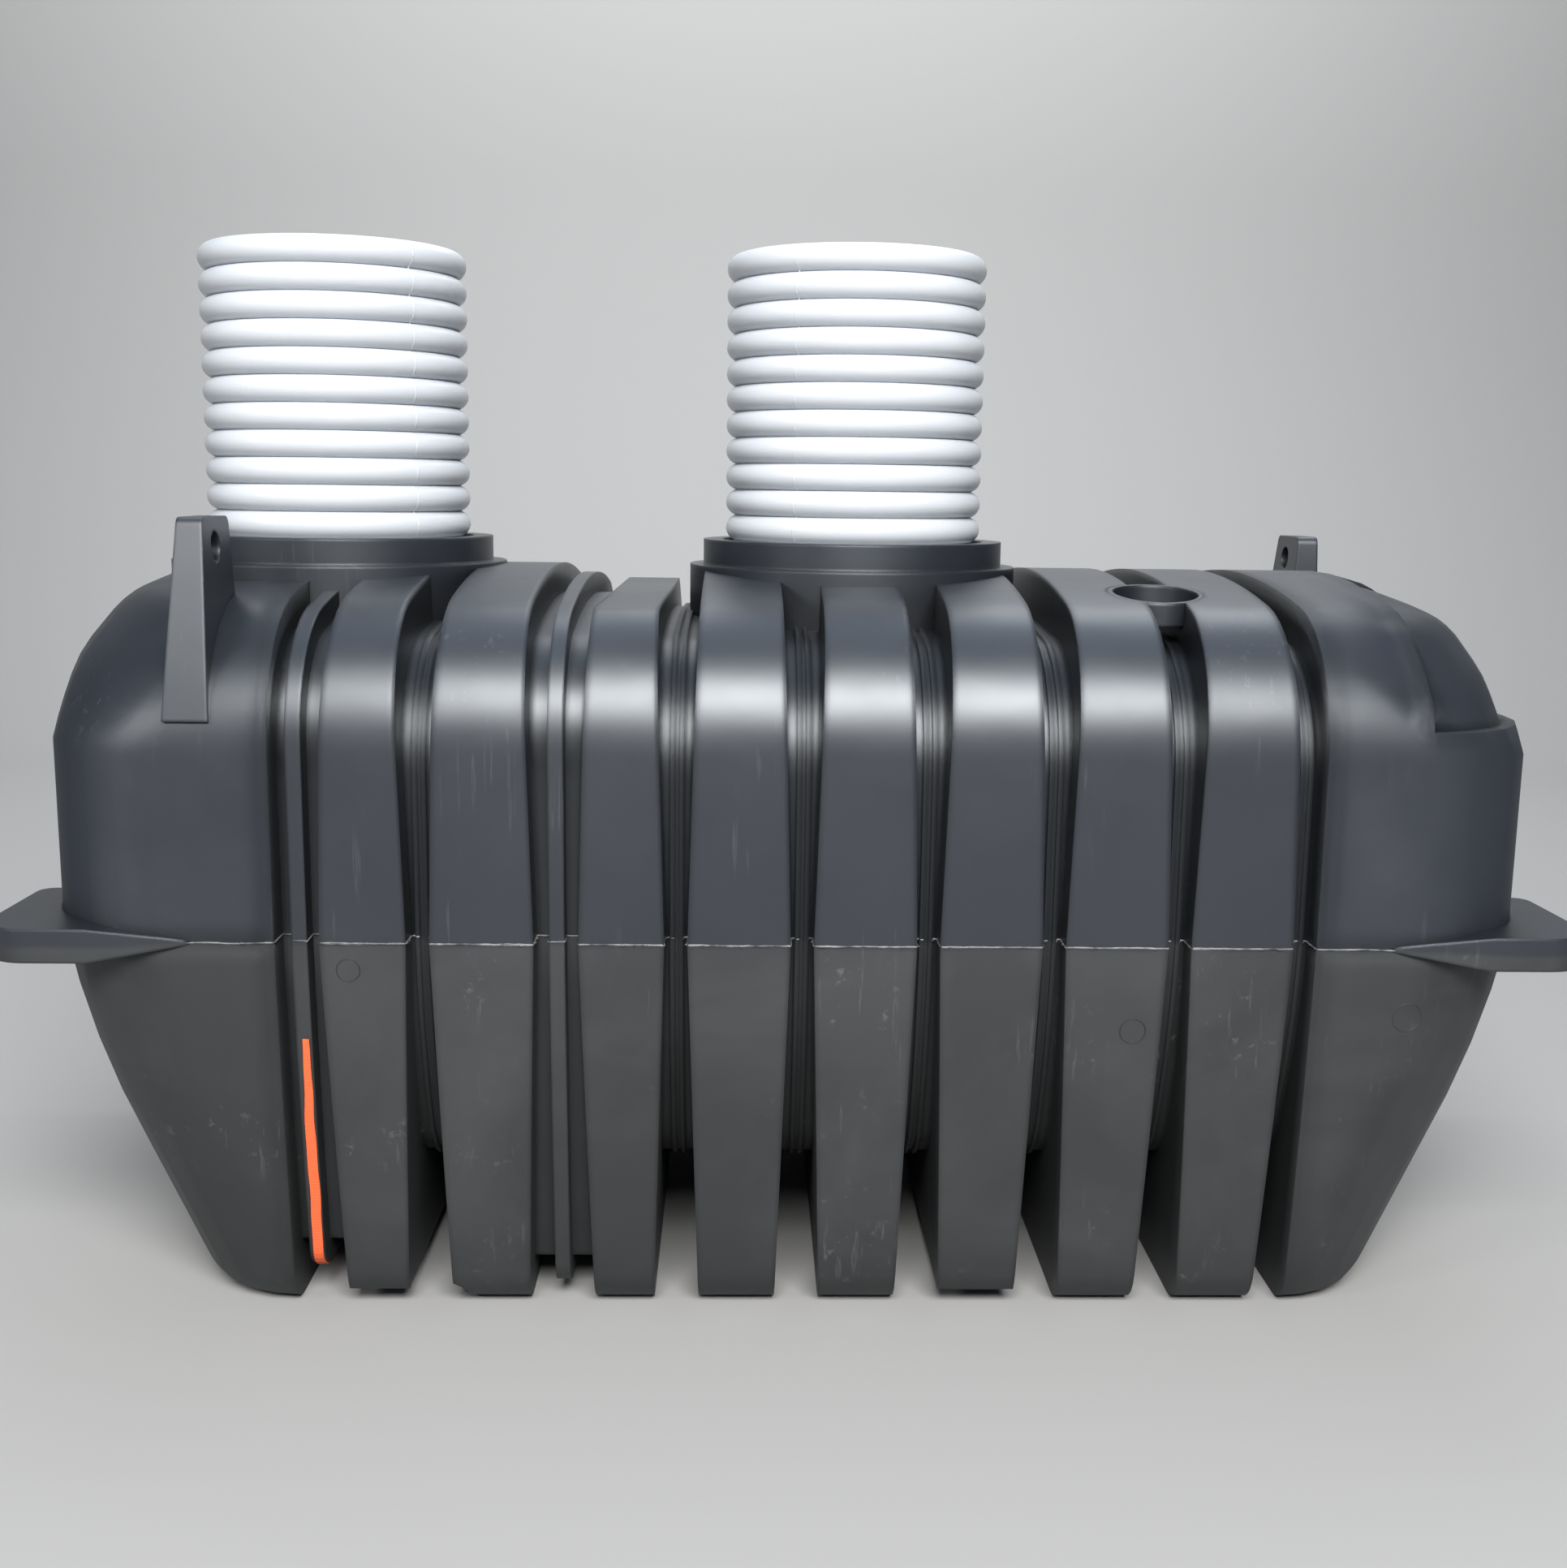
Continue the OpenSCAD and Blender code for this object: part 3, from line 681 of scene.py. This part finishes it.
def riser_seam(name, node, angle, mat):
    """A fine raised line up a riser at an angle, following the rings, uneven along its length."""
    low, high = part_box(node)
    centre = Vector(((low[0] + high[0]) / 2, 0, 0))
    aim_out = Vector((math.sin(angle), -math.cos(angle), 0))
    side_way = Vector((math.cos(angle), math.sin(angle), 0))
    work = bmesh.new()
    skin = surface(node)
    spacing, foot = 0.0025, 0.049
    steps = int((high[2] - low[2] - 0.05) / spacing)
    rings = []
    for k in range(steps + 1):
        z = low[2] + foot + k * spacing
        place, _, _, _ = skin.ray_cast(centre + aim_out * 0.6 + Vector((0, 0, z)), -aim_out)
        if place is None:
            continue
        stand = 0.0006 + 0.0005 * math.sin(z * 900) ** 2
        half = 0.0011 + 0.0004 * math.sin(z * 310)
        ring = [work.verts.new(place + side_way * half * a
                               + aim_out * (stand * b - 0.0004 * (1 - b)))
                for a, b in ((-1.0, 0), (-0.5, 0.8), (0.5, 0.8), (1.0, 0))]
        rings.append(ring)
    for one, two in zip(rings, rings[1:]):
        for i in range(4):
            j = (i + 1) % 4
            work.faces.new((one[i], one[j], two[j], two[i])).smooth = True
    work.faces.new(rings[0])
    work.faces.new(rings[-1][::-1])
    return finish_piece(name, work, mat)


left_seam = riser_seam("riser_left_seam", "riser_left", math.radians(47), white)
right_seam = riser_seam("riser_right_seam", "riser_right", math.radians(-30), white)
print("riser seams:", len(left_seam.data.polygons), len(right_seam.data.polygons))

# %% Faint rings
def moulded_ring(name, node, x, z, radius, mat, thick=0.0016, proud=0.0005, count=48):
    """A faint raised circle on the front of a solid."""
    work = bmesh.new()
    skin = surface(node)
    rings = []
    for k in range(count):
        t = 2 * math.pi * k / count
        ring = []
        for grow, stand in ((-thick, -0.0003), (0.0, proud), (thick, -0.0003)):
            r = radius + grow
            start = Vector((x + r * math.cos(t), -1.2, z + r * math.sin(t)))
            place, out, _, _ = skin.ray_cast(start, Vector((0, 1, 0)))
            if place is None:
                work.free()
                return None
            ring.append(work.verts.new(place + out * stand))
        rings.append(ring)
    for k in range(count):
        one, two = rings[k], rings[(k + 1) % count]
        for i in range(3):
            j = (i + 1) % 3
            work.faces.new((one[i], one[j], two[j], two[i])).smooth = True
    return finish_piece(name, work, mat)


def mid_x(name):
    """Middle of a solid along the tank."""
    low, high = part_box(name)
    return (low[0] + high[0]) / 2


rings_made = [
    moulded_ring("mould_ring_left", "rib_1", mid_x("rib_1") - 0.022, 0.93 * seam_z, 0.017,
                 black_rib),
    moulded_ring("mould_ring_middle", "rib_7", mid_x("rib_7") + 0.03, 0.78 * seam_z, 0.019,
                 black_rib),
    moulded_ring("mould_ring_right", "end_right_lower", mid_x("end_right_lower") - 0.03,
                 0.82 * seam_z, 0.022, black_end)]
print("rings:", [item.name if item else None for item in rings_made])

# %% [markdown]
# ## Floor and backdrop
# The tank stands in a plain studio. A floor and a separate wall would meet in a line behind it, so
# one sheet bends from the floor up into the wall. It hangs on no body, which keeps it out of the
# part.

# %% Floor and backdrop
def plain_material(name, colour, roughness):
    """One colour and one roughness all over."""
    mat = bpy.data.materials.new(name)
    mat.use_nodes = True
    bsdf = mat.node_tree.nodes["Principled BSDF"]
    bsdf.inputs["Base Color"].default_value = (*colour, 1)
    bsdf.inputs["Roughness"].default_value = roughness
    return mat


def sweep(name, front, back, bend, top, half):
    """A floor that bends up into a wall behind, as one smooth sheet."""
    sheet = bmesh.new()
    low = cad_low[2] - 0.0005
    path = [(front, low), (back, low)]
    path += [(back + bend * math.sin(t), low + bend - bend * math.cos(t))
             for t in (math.pi / 2 * i / 24 for i in range(1, 25))]
    path.append((back + bend, top))
    rows = [[sheet.verts.new((x, y, z)) for x in (-half, half)] for y, z in path]
    for one, two in zip(rows, rows[1:]):
        sheet.faces.new((one[0], one[1], two[1], two[0])).smooth = True
    mesh = bpy.data.meshes.new(name)
    sheet.to_mesh(mesh)
    sheet.free()
    mesh.materials.append(plain_material(name + "_pale", (0.265, 0.265, 0.263), 0.85))
    obj = bpy.data.objects.new(name, mesh)
    bpy.context.scene.collection.objects.link(obj)
    return obj


flat_end_y, bend_radius = 4.5, 3.0
floor = sweep("floor", -30.0, flat_end_y, bend_radius, 9.0, 30.0)
print("wall behind the tank at y %.1f m" % (flat_end_y + bend_radius))

# %% [markdown]
# ## Sky and lights
# Black plastic shows little but what it reflects. A weak sky fills the shadows. One large lamp in
# front and above puts the broad band of light on the shoulders of the ribs, and a small one at the
# left models the end. The others light the wall, the crown and the back.

# %% Sky
world = bpy.data.worlds.new("studio")
bpy.context.scene.world = world
world.use_nodes = True
sky = world.node_tree
aim_at = sky.nodes.new("ShaderNodeTexCoord").outputs["Generated"]
up_part = put(sky, "ShaderNodeSeparateXYZ", links={"Vector": aim_at})
shade = ramp(sky, maths(sky, "MULTIPLY_ADD", up_part.outputs["Z"], 0.5, 0.5),
             [(0.25, (0.70, 0.71, 0.73)), (0.5, (0.95, 0.96, 0.98)), (0.62, (0.62, 0.70, 0.84)),
              (1.0, (0.40, 0.52, 0.76))])
sky.links.new(shade, sky.nodes["Background"].inputs["Color"])
sky.nodes["Background"].inputs["Strength"].default_value = 0.26
bpy.context.scene.view_settings.view_transform = "Standard"
print("sky strength:", round(sky.nodes["Background"].inputs["Strength"].default_value, 2))

# %% Lights
def area(name, place, target, size, power, colour, size_y=None):
    """An area lamp that points at its target and isn't seen itself."""
    data = bpy.data.lights.new(name, "AREA")
    data.energy, data.size, data.color = power, size, colour
    if size_y:
        data.shape, data.size_y = "RECTANGLE", size_y
    lamp = bpy.data.objects.new(name, data)
    lamp.location = place
    lamp.rotation_euler = (Vector(target) - Vector(place)).to_track_quat("-Z", "Y").to_euler()
    lamp.visible_camera = False
    bpy.context.scene.collection.objects.link(lamp)
    return lamp


area("shoulder_light", (0.35, -5.2, 4.7), (0, 0, 0.9), 4.2, 1050, (1.0, 0.985, 0.96), 2.6)
area("top", (0.0, 0.6, 5.5), (0, 0, 0.8), 5.0, 60, (0.72, 0.85, 1.0), 3.0)
area("left_side", (-4.6, -4.0, 3.4), (0, 0, 0.8), 1.6, 110, (1.0, 0.98, 0.95), 1.4)
area("wall_wash", (0.0, 3.4, 6.6), (0, 7.4, 2.2), 8.0, 640, (0.98, 0.99, 1.0), 1.0)
area("back_fill", (1.2, 4.6, 5.6), (0, 0, 0.8), 4.0, 80, (0.93, 0.96, 1.0), 1.6)
print("area lights:", len([item for item in bpy.data.lights if item.type == "AREA"]))

# %% [markdown]
# ## Camera
# The camera stands about three metres in front of the tank and a little above it, turned slightly
# right, looking down, with its own small roll. A constraint could aim it at a point, but three
# angles written into its matrix give the view exactly.

# %% Camera
data = bpy.data.cameras.new("camera")
data.lens = 39.95
data.sensor_width = 36
camera = bpy.data.objects.new("camera", data)
stand = Vector((-0.083, -3.022, 1.256))
yaw, pitch, roll = math.radians(1.45), math.radians(9.83), math.radians(0.73)
aim = Vector((math.sin(yaw) * math.cos(pitch), math.cos(yaw) * math.cos(pitch), -math.sin(pitch)))
side = Vector((math.cos(yaw), -math.sin(yaw), 0))
rise = side.cross(aim)
side, rise = (math.cos(roll) * side + math.sin(roll) * rise,
              math.cos(roll) * rise - math.sin(roll) * side)
camera.matrix_world = Matrix((
    (side.x, rise.x, -aim.x, stand.x),
    (side.y, rise.y, -aim.y, stand.y),
    (side.z, rise.z, -aim.z, stand.z),
    (0, 0, 0, 1)))
bpy.context.scene.collection.objects.link(camera)
bpy.context.scene.camera = camera
print("camera at", [round(v, 3) for v in camera.matrix_world.translation])
